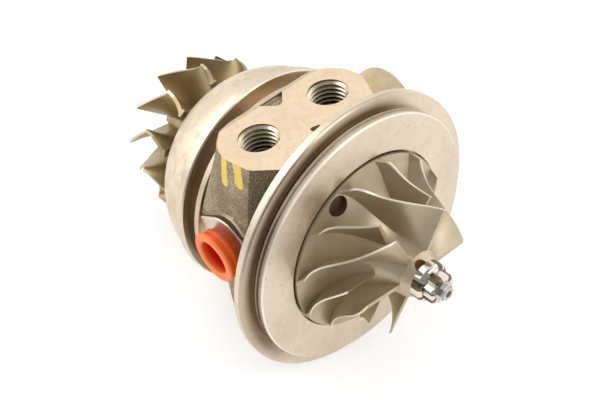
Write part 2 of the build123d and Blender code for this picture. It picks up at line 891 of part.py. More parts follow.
# Seal plate with its O-ring and snap ring
o_ring_x = seal_plate_back + seal_plate_thickness / 2
with BuildPart() as seal_plate:
    groove_back = o_ring_x - o_ring_groove_width / 2
    groove_front = o_ring_x + o_ring_groove_width / 2
    turn(
        [
            (seal_plate_back, seal_plate_bore),
            (seal_plate_back, seal_plate_radius - seal_plate_edge),
            (seal_plate_back + seal_plate_edge, seal_plate_radius),
            (groove_back, seal_plate_radius),
            (groove_back, seal_plate_radius - o_ring_groove_depth),
            (groove_front, seal_plate_radius - o_ring_groove_depth),
            (groove_front, seal_plate_radius),
            (snap_ring_back, seal_plate_radius),
            (snap_ring_back, seal_plate_bore),
        ]
    )
finish(seal_plate.part, "seal_plate")

with BuildPart() as seal_plate_o_ring:
    with BuildSketch(Plane.XZ):
        with Locations((o_ring_x, seal_plate_radius - o_ring_radius)):
            Circle(o_ring_radius)
    revolve(axis=Axis.X)
finish(seal_plate_o_ring.part, "seal_plate_o_ring")

with BuildPart() as seal_plate_snap_ring:
    split_ring(
        snap_ring_back,
        snap_ring_thickness,
        snap_ring_inner_radius,
        snap_ring_radius,
        snap_ring_opening,
        top_angle,
    )
finish(seal_plate_snap_ring.part, "seal_plate_snap_ring")

# Compressor wheel: full blades and splitters on one hub
compressor_rim_front = compressor_rim_back + compressor_rim_thickness


def compressor_tip(share):
    """The shroud edge of a blade, from the rim to the nose."""
    outer = compressor_wheel_radius - compressor_tip_inset
    x, radius = meridian(share, compressor_tip_x, inducer_x, outer, inducer_radius)
    return x, radius, wrap(share, compressor_blade_angle, compressor_blade_wrap)


def compressor_root(share):
    """The hub edge of a blade, leaning ahead of the shroud edge at the rim."""
    x, radius = meridian(
        share, compressor_rim_front, inducer_hub_x, compressor_wheel_radius, inducer_hub_radius
    )
    angle = wrap(share, compressor_blade_angle, compressor_blade_wrap)
    return x, radius, angle + compressor_root_lean * (1 - share) ** 2


def compressor_blade(length, sections):
    """A blade from the rim over a share of the way to the nose."""
    loft(
        [
            blade_section(
                compressor_root,
                compressor_tip,
                length * n / (sections - 1),
                compressor_root_thickness,
                compressor_tip_thickness,
            )
            for n in range(sections)
        ]
    )


with BuildPart() as full_blade:
    compressor_blade(1, full_blade_sections)

with BuildPart() as splitter_blade:
    compressor_blade(splitter_length, splitter_blade_sections)

with BuildPart() as compressor_wheel:
    with BuildSketch(Plane.XZ):
        with BuildLine():
            Polyline(
                (inducer_hub_x, inducer_hub_radius),
                (nose_x, nose_flat_radius),
                (nose_x, stack_bore),
                (sleeve_front, stack_bore),
                (sleeve_front, sleeve_radius + wheel_seat_margin),
                (compressor_rim_back - wheel_back_hollow, compressor_wheel_radius / 2),
                (compressor_rim_back, compressor_wheel_radius),
                (compressor_rim_front, compressor_wheel_radius),
            )
            EllipticalCenterArc(
                (inducer_hub_x, compressor_wheel_radius),
                x_radius=inducer_hub_x - compressor_rim_front,
                y_radius=compressor_wheel_radius - inducer_hub_radius,
                start_angle=180,
                arc_size=90,
            )
        make_face()
    revolve(axis=Axis.X)
    # Material ground away to balance the wheel
    cut_floor = compressor_rim_front - balance_cut_depth
    drill(
        around(balance_cut_circle_radius, balance_cut_angle, nose_x),
        around(balance_cut_circle_radius, balance_cut_angle, cut_floor),
        balance_cut_radius,
    )
    drill(
        around(inducer_hub_radius + nose_cut_run_in, nose_cut_angle, nose_x),
        around(nose_flat_radius - nose_cut_depth, nose_cut_angle, nose_x),
        nose_cut_radius,
    )
    for blade in range(compressor_blade_count):
        step = 360 / compressor_blade_count
        add(full_blade.part.rotate(Axis.X, blade * step))
        add(splitter_blade.part.rotate(Axis.X, (blade + 0.5) * step))
finish(compressor_wheel.part, "compressor_wheel")

# Turbine wheel: cast blades on a scalloped disc
turbine_disc_front = turbine_back_x - turbine_disc_thickness


def turbine_tip(share):
    """The shroud edge of a blade, from the inlet to the outlet."""
    x, radius = meridian(
        share, turbine_inlet_x, turbine_exducer_x, turbine_inlet_radius, turbine_exducer_radius
    )
    return x, radius, wrap(share, turbine_blade_angle, turbine_blade_wrap)


def turbine_root(share):
    """The hub edge of a blade, leaning ahead of the shroud edge at the inlet."""
    x, radius = meridian(
        share, turbine_disc_front, turbine_hub_end_x, turbine_disc_radius, turbine_hub_end_radius
    )
    angle = wrap(share, turbine_blade_angle, turbine_blade_wrap)
    return x, radius, angle + turbine_root_lean * (1 - share) ** 2


with BuildPart() as turbine_blade:
    turbine_sections = []
    for section_number in range(turbine_blade_sections):
        share = section_number / (turbine_blade_sections - 1)
        turbine_sections.append(
            blade_section(
                turbine_root,
                turbine_tip,
                share,
                turbine_root_thickness,
                turbine_tip_thickness,
                turbine_blade_bow * (1 - share) ** 2,
            )
        )
    loft(turbine_sections)

with BuildPart() as turbine_wheel:
    with BuildSketch(Plane.XZ):
        with BuildLine():
            Polyline(
                (turbine_hub_end_x, turbine_hub_end_radius),
                (turbine_nose_x + turbine_hex_length, turbine_nose_radius),
                (turbine_nose_x + turbine_hex_length, 0),
                (turbine_back_x, 0),
                (turbine_back_x, turbine_disc_radius),
                (turbine_disc_front, turbine_disc_radius),
            )
            EllipticalCenterArc(
                (turbine_hub_end_x, turbine_disc_radius),
                x_radius=turbine_disc_front - turbine_hub_end_x,
                y_radius=turbine_disc_radius - turbine_hub_end_radius,
                start_angle=270,
                arc_size=90,
            )
        make_face()
    revolve(axis=Axis.X)
    # Six-sided nose, to hold the rotor while the nut is turned
    with BuildSketch(Plane.YZ.offset(turbine_nose_x)):
        RegularPolygon(turbine_hex_radius, 6)
    extrude(amount=turbine_hex_length)
    # Scallops in the disc's rim, one between each two blades
    scallop_centre = turbine_disc_radius + scallop_radius - scallop_depth
    scallop_start = turbine_blade_angle + turbine_root_lean + 180 / turbine_blade_count
    with BuildSketch(Plane.YZ.offset(turbine_inlet_x)):
        with PolarLocations(scallop_centre, turbine_blade_count, start_angle=scallop_start):
            Circle(scallop_radius)
    extrude(amount=turbine_back_x - turbine_inlet_x, mode=Mode.SUBTRACT)
    for blade in range(turbine_blade_count):
        add(turbine_blade.part.rotate(Axis.X, 360 * blade / turbine_blade_count))
finish(turbine_wheel.part, "turbine_wheel")

# Lock nut with twelve points on a round flange
with BuildPart() as lock_nut:
    nut_flange_end = nose_x + nut_flange_thickness
    nut_end = nose_x + nut_height
    with BuildSketch(Plane.YZ.offset(nose_x)):
        Circle(nut_flange_radius)
    extrude(amount=nut_flange_thickness)
    flange_edge = edges().filter_by(GeomType.CIRCLE).sort_by(Axis.X)[-1]
    fillet(flange_edge, radius=nut_flange_rounding)
    with BuildSketch(Plane.YZ.offset(nut_flange_end)):
        RegularPolygon(nut_point_radius, 6)
        RegularPolygon(nut_point_radius, 6, rotation=30)
    extrude(amount=nut_height - nut_flange_thickness)
    # The points are turned away at the outer end
    turn(
        [
            (nut_end - nut_point_edge, nut_point_radius),
            (nut_end - nut_point_edge, nut_flange_radius),
            (nut_end, nut_flange_radius),
            (nut_end, nut_point_radius - nut_point_edge),
        ],
        Mode.SUBTRACT,
    )
    drill((nose_x, 0, 0), (nut_end, 0, 0), stack_bore)
finish(lock_nut.part, "lock_nut")

# Port plug: a soft plastic cup pushed into the coolant port
with BuildPart() as port_plug:
    plug_face = -plug_face_distance
    plug_end = plug_face + plug_length
    flange_back = plug_face + plug_flange_thickness
    collar_front = flange_back + plug_neck_length
    collar_back = collar_front + plug_collar_thickness
    shank_radius = side_port_radius - plug_gap
    cup_radius = shank_radius - plug_wall
    outline = [
        (0, plug_end),
        (shank_radius - plug_end_edge, plug_end),
        (shank_radius, plug_end - plug_end_edge),
        (shank_radius, collar_back),
        (plug_collar_radius, collar_back),
        (plug_collar_radius, collar_front),
        (shank_radius, collar_front),
        (shank_radius, flange_back),
        (plug_flange_radius - plug_flange_edge, flange_back),
        (plug_flange_radius, flange_back - plug_flange_edge),
        (plug_flange_radius, plug_face + plug_flange_edge),
        (plug_flange_radius - plug_flange_edge, plug_face),
        (cup_radius + plug_flange_edge, plug_face),
        (cup_radius, plug_face + plug_flange_edge),
        (cup_radius, plug_end - plug_floor),
        (0, plug_end - plug_floor),
    ]
    with BuildSketch(Plane.XY.offset(side_port_height)):
        with BuildLine():
            Polyline(*[(side_port_x + radius, y) for radius, y in outline], close=True)
        make_face()
    revolve(axis=Axis((side_port_x, 0, side_port_height), (0, 1, 0)))
finish(port_plug.part, "port_plug")
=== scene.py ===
import math

import bmesh
import bpy
from mathutils import Matrix, Vector


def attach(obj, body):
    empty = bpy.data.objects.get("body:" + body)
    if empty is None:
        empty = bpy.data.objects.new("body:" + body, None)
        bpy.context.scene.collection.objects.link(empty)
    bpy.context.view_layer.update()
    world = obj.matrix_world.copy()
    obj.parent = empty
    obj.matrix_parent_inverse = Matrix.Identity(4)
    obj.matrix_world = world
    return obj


# A turbo cartridge that lies on the rims of its two flanges, on a pale floor.
# Metres. X runs along the shaft towards the compressor, Z is square to the top face.
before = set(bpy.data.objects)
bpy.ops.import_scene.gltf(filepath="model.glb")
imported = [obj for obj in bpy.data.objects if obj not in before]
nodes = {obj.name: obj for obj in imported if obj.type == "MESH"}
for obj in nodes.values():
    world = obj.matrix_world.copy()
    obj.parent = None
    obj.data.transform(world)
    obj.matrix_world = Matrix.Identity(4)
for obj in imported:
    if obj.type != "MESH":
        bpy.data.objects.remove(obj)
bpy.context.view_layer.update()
mm = 0.001

# Flanges, and the spigot that carries the compressor housing. Pairs are limits along the shaft,
# unless their name says radii.
flange_radius = 44.6 * mm
spigot_radius = 39.9 * mm
flange_step = (-0.9 * mm, 0.3 * mm)
flange_step_radius = spigot_radius - 0.3 * mm
spigot_foot = 0.4 * mm
spigot_front = 3.38 * mm
spigot_groove = (0.88 * mm, 1.82 * mm)
spigot_groove_radii = (36 * mm, spigot_radius - 0.1 * mm)
spigot_edge = 2.7 * mm
spigot_edge_width = 0.7 * mm
turbine_flange_radius = 36.2 * mm
turbine_flange_x = -40.5 * mm
clamp_groove = (-37.6 * mm, -33.9 * mm)
clamp_groove_radius = 34.2 * mm
body_land = (-34.0 * mm, -31.3 * mm)
body_land_radius = 33.5 * mm

# The casting keeps its sand skin between the flanges, save where its faces and ports were cut.
# A cut lies a little inside its face, so that the whole face counts as machined.
skin_span = (-31.5 * mm, -3.4 * mm)
top_height = 34.7 * mm
top_cut = top_height - 0.08 * mm
top_span = (-32 * mm, -3.2 * mm)
drain_face = -36.5 * mm
drain_cut = drain_face + 0.2 * mm
port_radius = 6.0 * mm
port_places = ((-21.0 * mm, -14.2 * mm), (-21.0 * mm, 11.9 * mm))
port_reach = port_radius + 0.1 * mm
port_span = (20 * mm, top_height - 0.05 * mm)
port_shade_below = top_height - 0.9 * mm
side_port = (-19.5 * mm, -32.3 * mm, 6.7 * mm)
side_boss_face = (-32.4 * mm, -31.9 * mm)
side_boss_span = (-30.9 * mm, -9.4 * mm)
side_boss_height = (4 * mm, 18 * mm)
far_port = (-22.0 * mm, 37.0 * mm, 17.0 * mm)
far_port_radius = 7.0 * mm
far_boss_cut = far_port[1] - 0.1 * mm
corner_span = (-12.9 * mm, -2.9 * mm)
corner_edge = -8 * mm
# The cast wall over the plugged port leans out towards its foot: y at z = 0, and its change with z
wall_slope = 0.247
wall_foot = -25.8 * mm - 34.7 * mm * wall_slope

# Where painted shade and highlights, the step's stain and the far boss's pale tone fade: round the plugged
# port, on the far boss, on the flanges along y, up z and out from the shaft, and down the threads of the oil
# ports
boss_rise = (0.1 * mm, 0.45 * mm)
edge_highlight_ring = (9.8 * mm, 10.7 * mm)
edge_highlight_depth = (-0.5 * mm, 0.12 * mm)
edge_highlight_from = (-24 * mm, -19 * mm)
pale_across = (18 * mm, 28 * mm)
pale_up = (4 * mm, 18 * mm)
groove_across = (-9 * mm, -3 * mm)
step_across = (10 * mm, 28 * mm)
step_up = (-34 * mm, -12 * mm)
step_out = (41.2 * mm, 44.2 * mm)
plug_side = (-32 * mm, -24 * mm)
thread_shade_span = (24 * mm, 35 * mm)

# Two strokes of marking paint on the cast wall: top and foot as x and z, and width
paint_strokes = (
    ((-22.1 * mm, 34.0 * mm), (-21.3 * mm, 26.2 * mm), 2.6 * mm),
    ((-17.0 * mm, 34.0 * mm), (-15.8 * mm, 27.6 * mm), 3.0 * mm),
)
painted_side = -22 * mm

# Threads: name, mouth, direction out of the hole, radius, depth, pitch, height of the ridge
oil_thread = ((0, 0, 1), port_radius, 11.6 * mm, 1.5 * mm, 0.8 * mm)
drain_thread = ((0, 0, -1), 3.4 * mm, 9.5 * mm, 1.25 * mm, 0.5 * mm)
thread_mouth = top_height - 0.2 * mm
threads = (
    ("oil_port_thread_near", (*port_places[0], thread_mouth), *oil_thread),
    ("oil_port_thread_far", (*port_places[1], thread_mouth), *oil_thread),
    ("coolant_port_thread", far_port, (0, 1, 0), far_port_radius, 11.5 * mm, 1.5 * mm, 0.8 * mm),
    ("drain_bolt_thread_near", (-20 * mm, -20 * mm, drain_face), *drain_thread),
    ("drain_bolt_thread_far", (-20 * mm, 20 * mm, drain_face), *drain_thread),
)

# Of all threads, only those of the oil ports lie above this z and below this y
oil_thread_bottom = 22.9 * mm
oil_thread_side = 19 * mm

# The compressor wheel: the hole through its nose, the ground balance spot as y and z, and the
# ellipse that its blades' edges lie on (middle along the shaft and out from it, half length, half height)
nose_hole_x = 25.6 * mm
nose_hole_radius = 1.86 * mm
nose_hole_lean = math.radians(10)
balance_spot = (-10.31 * mm, 22.11 * mm)
balance_spot_radius = 3.1 * mm
balance_spot_top = 5.4 * mm
wheel_edge = (22.63 * mm, 27.66 * mm, 15.9 * mm, 7.95 * mm)

# The turbine wheel: the same ellipse, how far in it counts, and the outer edge
turbine_edge = (-82.7 * mm, 27.4 * mm, 11.8 * mm, 3.5 * mm)
turbine_edge_from = 23.2 * mm
turbine_rim = 27.15 * mm

# Where the nut's collar ends and its points start, and the painted shade on the shaft's end that stands
# for its small centre drilling
nut_collar_end = 28.9 * mm
drilling_radius = 1.1 * mm
drilling_from = 34.1 * mm

# The plug: its cup and its shank by radius, and the spans of y over which its colours and painted shade come
# in
cup_radius = 5.5 * mm
shank_radius = 5.6 * mm
cup_span = (-38.1 * mm, -35.5 * mm)
neck_span = (-38.3 * mm, -37.3 * mm)
seat_span = (-36.2 * mm, -33.6 * mm)

# Depth of the marks that a lathe leaves, of cast and moulded grain, and of the sand skin
turned_depth = 0.003 * mm
cast_depth = 0.012 * mm
moulded_depth = 0.01 * mm
sand_depth = 0.6 * mm

# The photograph's view: turn, height and roll in degrees, the lens, and the place
camera_angles = (54.04, 43.28, -9.29)
camera_lens = 56.59
camera_place = (0.14588, -0.1249, 0.19761)

# Studio light: the room's own brightness, the pale cards that mirrors see in it, and the soft lamps
room_light = 0.8
room_dark = 0.3
cards = (
    ((-0.951, 0.168, 0.259), (0.45, 0.88), 0.5),
    ((0.42, 0.906, 0.05), (0.6, 0.88), 0.75),
    ((-0.2, 0.75, 0.63), (0.72, 0.93), 0.42),
)
lamps = (
    ("overhead_back", (-0.55, -0.1, 0.75), (0.6, 0.6), 1.5),
    ("left_front", (-0.65, -0.5, 0.53), (0.6, 0.8), 1.9),
    ("right_front", (0.6, 0.28, 0.55), (0.4, 0.4), 1.3),
)
floor_radius = 0.9
floor_glow = 0.4
floor_mirror_glow = 0.22


class Graph:
    """A short way to lay out the nodes of one material or one shader group."""

    def __init__(self, tree):
        self.nodes = tree.nodes
        self.links = tree.links

    def put(self, target, value):
        """Links a socket to an input, or writes a plain value into it."""
        if isinstance(value, bpy.types.NodeSocket):
            self.links.new(value, target)
        else:
            target.default_value = value

    def node(self, kind, inputs=(), output=0, **settings):
        """Adds a node, fills its inputs by order or by name, and returns one output."""
        made = self.nodes.new(kind)
        for name, value in settings.items():
            setattr(made, name, value)
        pairs = inputs.items() if isinstance(inputs, dict) else enumerate(inputs)
        for key, value in pairs:
            self.put(made.inputs[key], value)
        return made.outputs[output] if made.outputs else made

    def math(self, operation, *inputs):
        """One step of arithmetic."""
        return self.node("ShaderNodeMath", inputs, operation=operation)

    def over(self, value, limit):
        """1 above a limit, 0 below it."""
        return self.math("GREATER_THAN", value, limit)

    def under(self, value, limit):
        """1 below a limit, 0 above it."""
        return self.math("LESS_THAN", value, limit)

    def within(self, value, limits):
        """1 between two limits, 0 outside them."""
        return self.both(self.over(value, limits[0]), self.under(value, limits[1]))

    def both(self, first, *others):
        """Masks or numbers multiplied together."""
        for other in others:
            first = self.math("MULTIPLY", first, other)
        return first

    def ramp(self, value, low, high):
        """0 below low and 1 above high, smooth between them."""
        return self.node(
            "ShaderNodeMapRange",
            {"Value": value, "From Min": low, "From Max": high},
            interpolation_type="SMOOTHSTEP",
        )

    def fade(self, value, limits, before, after):
        """One number below two limits and another above them, smooth between them."""
        return self.blend(self.ramp(value, *limits), before, after)

    def mix(self, share, first, second):
        """A colour between two."""
        made = self.nodes.new("ShaderNodeMix")
        made.data_type = "RGBA"
        self.put(made.inputs[0], share)
        self.put(made.inputs[6], first)
        self.put(made.inputs[7], second)
        return made.outputs[2]

    def blend(self, share, first, second):
        """A number between two."""
        return self.node("ShaderNodeMix", {0: share, 2: first, 3: second})

    def noise(self, vector, scale, detail, roughness, distortion=0.0):
        """Noise over a surface. The scale is its lumps to the metre."""
        return self.node(
            "ShaderNodeTexNoise",
            {
                "Vector": vector,
                "Scale": scale,
                "Detail": detail,
                "Roughness": roughness,
                "Distortion": distortion,
            },
        )

    def noise_along(self, value, scale, detail):
        """Noise that changes with one number."""
        return self.node(
            "ShaderNodeTexNoise",
            {"W": value, "Scale": scale, "Detail": detail},
            noise_dimensions="1D",
        )

    def place(self):
        """The place on the piece, in metres."""
        return self.node("ShaderNodeTexCoord", output="Object")

    def split(self, place):
        """The three parts of a place."""
        made = self.nodes.new("ShaderNodeSeparateXYZ")
        self.put(made.inputs[0], place)
        return tuple(made.outputs)

    def distance(self, first, second):
        """How far a place is from an axis, from its two parts."""
        squares = self.math("MULTIPLY", first, first)
        squares = self.math("MULTIPLY_ADD", second, second, squares)
        return self.math("SQRT", squares)


def rgb(red, green, blue):
    """A colour from its screen values, 0 to 255."""
    return tuple(((value / 255) ** 2.2) for value in (red, green, blue)) + (1.0,)


def look_frame(azimuth, elevation, roll):
    """The right, up and back directions of a camera, from its angles in degrees."""
    azimuth, elevation, roll = (math.radians(angle) for angle in (azimuth, elevation, roll))
    level = Vector((math.cos(azimuth), math.sin(azimuth), 0))
    outwards = Vector((math.sin(azimuth), -math.cos(azimuth), 0))
    back = math.cos(elevation) * outwards + math.sin(elevation) * Vector((0, 0, 1))
    right = math.cos(roll) * level + math.sin(roll) * back.cross(level)
    return right, back.cross(right), back


def add_camera():
    """The photograph's view: from the compressor end, above and to one side."""
    camera = bpy.data.objects.new("camera", bpy.data.cameras.new("camera"))
    camera.data.sensor_width = 36
    camera.data.lens = camera_lens
    camera.data.clip_start = 0.005
    camera.matrix_world = Matrix(look_frame(*camera_angles)).transposed().to_4x4()
    camera.location = camera_place
    bpy.context.scene.collection.objects.link(camera)
    bpy.context.scene.camera = camera


def add_lamp(name, place, size, power):
    """A soft rectangular lamp that faces the origin."""
    lamp = bpy.data.lights.new(name, "AREA")
    lamp.shape = "RECTANGLE"
    lamp.size, lamp.size_y = size
    lamp.energy = power
    made = bpy.data.objects.new(name, lamp)
    made.location = place
    made.rotation_euler = (-Vector(place)).to_track_quat("-Z", "Y").to_euler()
    bpy.context.scene.collection.objects.link(made)


def ray_kinds(graph):
    """1 for rays that see the background plainly, and 1 for mirror rays."""
    path = graph.nodes.new("ShaderNodeLightPath")
    seen = graph.math("MAXIMUM", path.outputs["Is Camera Ray"], path.outputs["Is Transmission Ray"])
    return seen, path.outputs["Is Glossy Ray"]


def add_room():
    """A white room that darkens overhead, with pale cards in it for the metal to mirror."""
    bpy.context.scene.view_settings.view_transform = "Standard"
    world = bpy.data.worlds.new("studio")
    bpy.context.scene.world = world
    world.use_nodes = True
    graph = Graph(world.node_tree)
    graph.nodes.clear()
    seen, mirror = ray_kinds(graph)
    direction = graph.node("ShaderNodeTexCoord", output="Generated")
    room = room_dark
    for aim, reach, strength in cards:
        facing = graph.node(
            "ShaderNodeVectorMath",
            (direction, aim),
            "Value",
            operation="DOT_PRODUCT",
        )
        room = graph.math("MULTIPLY_ADD", graph.ramp(facing, *reach), strength, room)
    strength = graph.blend(mirror, room_light, room)
    strength = graph.blend(seen, strength, 1.0)
    light = graph.node("ShaderNodeBackground", {"Color": (1, 1, 1, 1), "Strength": strength})
    graph.node("ShaderNodeOutputWorld", {"Surface": light})


def add_floor():
    """A floor that touches the rims of both flanges."""
    lower = Vector((turbine_flange_x, 0, -turbine_flange_radius))
    upper = Vector((0, 0, -flange_radius))
    side = Vector((0, 1, 0))
    along = (upper - lower).normalized()
    normal = along.cross(side).normalized()
    turned = Matrix((along, side, normal)).transposed().to_4x4()
    middle = Matrix.Translation((lower + upper) / 2)
    shape = bmesh.new()
    bmesh.ops.create_circle(shape, cap_ends=True, segments=96, radius=floor_radius)
    bmesh.ops.transform(shape, matrix=middle @ turned, verts=shape.verts)
    keep(shape, "floor", floor_paper())


def new_material(name):
    """An empty material with its principled shader joined to the output."""
    material = bpy.data.materials.new(name)
    material.use_nodes = True
    graph = Graph(material.node_tree)
    graph.nodes.clear()
    shader = graph.nodes.new("ShaderNodeBsdfPrincipled")
    output = graph.nodes.new("ShaderNodeOutputMaterial")
    graph.links.new(shader.outputs[0], output.inputs["Surface"])
    return material, graph, shader


def dress(graph, shader, **inputs):
    """Fills the named inputs of a principled shader."""
    for name, value in inputs.items():
        graph.put(shader.inputs[name.replace("_", " ").title()], value)


def bump(graph, height, depth):
    """A bump from a height between 0 and 1 and the depth that 1 stands for, in metres."""
    return graph.node("ShaderNodeBump", {"Strength": 1.0, "Distance": depth, "Height": height})


def floor_paper():
    """White paper: it stays white in the open and keeps the object's shadow."""
    material = bpy.data.materials.new("floor_paper")
    material.use_nodes = True
    graph = Graph(material.node_tree)
    graph.nodes.clear()
    seen, mirror = ray_kinds(graph)
    strength = graph.math("MULTIPLY", mirror, floor_mirror_glow)
    strength = graph.math("MULTIPLY_ADD", seen, floor_glow, strength)
    paper = graph.node("ShaderNodeBsdfDiffuse", {"Color": (0.8, 0.8, 0.8, 1)})
    glow = graph.node("ShaderNodeEmission", {"Color": (1, 1, 1, 1), "Strength": strength})
    surface = graph.node("ShaderNodeAddShader", (paper, glow))
    graph.node("ShaderNodeOutputMaterial", {"Surface": surface})
    return material


def keep(shape, name, material, smooth=None):
    """Turns a finished bmesh into an object with one material, smooth up to an angle in degrees."""
    mesh = bpy.data.meshes.new(name)
    shape.to_mesh(mesh)
    shape.free()
    mesh.materials.append(material)
    if smooth is not None:
        for face in mesh.polygons:
            face.use_smooth = True
        mesh.set_sharp_from_angle(angle=math.radians(smooth))
    made = bpy.data.objects.new(name, mesh)
    bpy.context.scene.collection.objects.link(made)
    return made


def effect(name, inputs, outputs, fill):
    """A shader group that materials place with their own values. An input without a value is a vector."""
    tree = bpy.data.node_groups.new(name, "ShaderNodeTree")
    for socket, value in inputs.items():
        kind = "NodeSocketVector" if value is None else "NodeSocketFloat"
        made = tree.interface.new_socket(socket, in_out="INPUT", socket_type=kind)
        if value is not None:
            made.default_value = value
    for socket in outputs:
        tree.interface.new_socket(socket, in_out="OUTPUT", socket_type="NodeSocketFloat")
    graph = Graph(tree)
    given = graph.nodes.new("NodeGroupInput")
    made = graph.nodes.new("NodeGroupOutput")
    for socket, value in zip(outputs, fill(graph, *given.outputs[: len(inputs)])):
        graph.put(made.inputs[socket], value)
    return tree


def placed(graph, tree, *inputs):
    """Puts a shader group in a material and returns its outputs."""
    made = graph.nodes.new("ShaderNodeGroup")
    made.node_tree = tree
    for socket, value in zip(made.inputs, inputs):
        graph.put(socket, value)
    return made.outputs


def fill_cast_skin(graph, place, size):
    """Sand-cast skin: fine sand grain, broader lumps and a slow change of tone."""
    lumps = graph.noise(place, graph.math("DIVIDE", 0.6, size), 3, 0.6)
    grain = graph.noise(place, graph.math("DIVIDE", 2.2, size), 2, 0.7)
    tone = graph.noise(place, graph.math("DIVIDE", 0.12, size), 3, 0.6)
    grain_share = 0.45
    height = graph.blend(grain_share, lumps, grain)
    return height, tone, graph.ramp(grain, 0.35, 0.65)


def fill_turned_marks(graph, place, pitch):
    """Fine rings round the shaft's line that a lathe tool leaves, uneven from ring to ring."""
    x, y, z = graph.split(place)
    row = graph.math("DIVIDE", graph.math("ADD", graph.distance(y, z), x), pitch)
    return (graph.noise_along(row, 1.0, 2.0),)


def fill_speckle(graph, place, size, share):
    """Small dark specks of uneven shape, thicker in some patches than in others."""
    bare_level = 0.74
    soft_edge = 0.05
    spots = graph.noise(place, graph.math("DIVIDE", 1.0, size), 3, 0.65)
    patches = graph.noise(place, graph.math("DIVIDE", 0.08, size), 2, 0.5)
    level = graph.math("SUBTRACT", bare_level, graph.both(patches, share))
    return (graph.ramp(graph.math("SUBTRACT", spots, level), 0.0, soft_edge),)


def fill_slow_tone(graph, place, scale):
    """A slow change over the surface: as plain noise, and as a share for mixing two colours."""
    tone = graph.noise(place, scale, 3, 0.6)
    return tone, graph.ramp(tone, 0.3, 0.7)


def fill_fine_grain(graph, place, scale):
    """Fine even grain of a blasted or moulded surface."""
    return (graph.noise(place, scale, 2, 0.6),)


def fill_blade_edge(graph, place, middle, out, length, height):
    """1 on the blades' machined edge, which lies on a quarter of an ellipse turned round the shaft."""
    reach = 1.02
    x, y, z = graph.split(place)
    across = graph.math("DIVIDE", graph.math("SUBTRACT", x, middle), length)
    outwards = graph.math("DIVIDE", graph.math("SUBTRACT", graph.distance(y, z), out), height)
    return (graph.under(graph.distance(across, outwards), reach),)


cast_skin = effect(
    "cast_skin",
    {"Place": None, "Size": 0.001},
    ("Height", "Tone", "Grain"),
    fill_cast_skin,
)
turned_marks = effect("turned_marks", {"Place": None, "Pitch": 0.0003}, ("Rings",), fill_turned_marks)
speckle = effect(
    "speckle",
    {"Place": None, "Size": 0.001, "Share": 0.2},
    ("Specks",),
    fill_speckle,
)
slow_tone = effect("slow_tone", {"Place": None, "Scale": 90.0}, ("Noise", "Share"), fill_slow_tone)
fine_grain = effect("fine_grain", {"Place": None, "Scale": 2600.0}, ("Height",), fill_fine_grain)
blade_edge = effect(
    "blade_edge",
    {"Place": None, "Middle": 0.0, "Out": 0.03, "Length": 0.01, "Height": 0.01},
    ("Edge",),
    fill_blade_edge,
)


def machined_places(graph, x, y, z):
    """1 where a tool has cut the casting, and 1 inside the two ports of the top face."""
    ports = 0.0
    for port_x, port_y in port_places:
        across = graph.math("SUBTRACT", x, port_x)
        along = graph.math("SUBTRACT", y, port_y)
        in_port = graph.under(graph.distance(across, along), port_reach)
        ports = graph.math("MAXIMUM", ports, in_port)
    ports = graph.both(ports, graph.within(z, port_span))
    machined = ports
    for cut in (
        graph.over(x, skin_span[1]),
        graph.under(x, skin_span[0]),
        graph.over(z, top_cut),
        graph.under(z, drain_cut),
        graph.over(y, far_boss_cut),
        graph.within(y, side_boss_face),
    ):
        machined = graph.math("MAXIMUM", machined, cut)
    return machined, ports


def skin_colour(graph, x, y, z, skin, clouds):
    """The casting's own skin, with painted shade on the boss's side and in the deep corner, a painted
    highlight on the wall's edge round the boss, and a paler far boss.
    """
    colour = graph.mix(graph.ramp(skin["Tone"], 0.35, 0.65), rgb(178, 160, 132), rgb(218, 200, 172))
    colour = graph.mix(graph.both(skin["Grain"], 0.75), colour, rgb(104, 92, 66))

    # The side of the raised boss is darkened with painted shade, and the wall's edge round it carries a
    # painted highlight
    wall = graph.math("MULTIPLY_ADD", z, wall_slope, wall_foot)
    proud = graph.math("SUBTRACT", wall, y)
    beside = graph.both(graph.within(z, side_boss_height), graph.under(x, side_boss_span[1]))
    boss_side = graph.both(graph.ramp(proud, *boss_rise), graph.over(y, side_boss_face[1]))
    boss_side_shade = graph.both(boss_side, beside, graph.over(x, side_boss_span[0]), 0.85)
    colour = graph.mix(boss_side_shade, colour, rgb(58, 50, 32))
    from_port_x = graph.math("SUBTRACT", x, side_port[0])
    from_port_z = graph.math("SUBTRACT", z, side_port[2])
    round_port = graph.within(graph.distance(from_port_x, from_port_z), edge_highlight_ring)
    wall_edge = graph.both(round_port, graph.within(proud, edge_highlight_depth))
    edge_highlight = graph.both(wall_edge, beside, graph.ramp(x, *edge_highlight_from), 0.85)
    colour = graph.mix(edge_highlight, colour, rgb(246, 232, 204))

    # Painted shade in the deep corner between the wall and the compressor flange
    corner = graph.both(graph.within(x, corner_span), graph.under(y, corner_edge), 0.7)
    corner_shade = graph.mix(skin["Grain"], rgb(124, 110, 82), rgb(44, 37, 24))
    colour = graph.mix(corner, colour, corner_shade)

    # The far boss is paler, with golden flecks
    far_boss = graph.both(graph.ramp(y, *pale_across), graph.ramp(z, *pale_up), 0.66)
    flecked = graph.mix(clouds, rgb(226, 204, 172), rgb(246, 216, 164))
    return graph.mix(far_boss, colour, flecked)


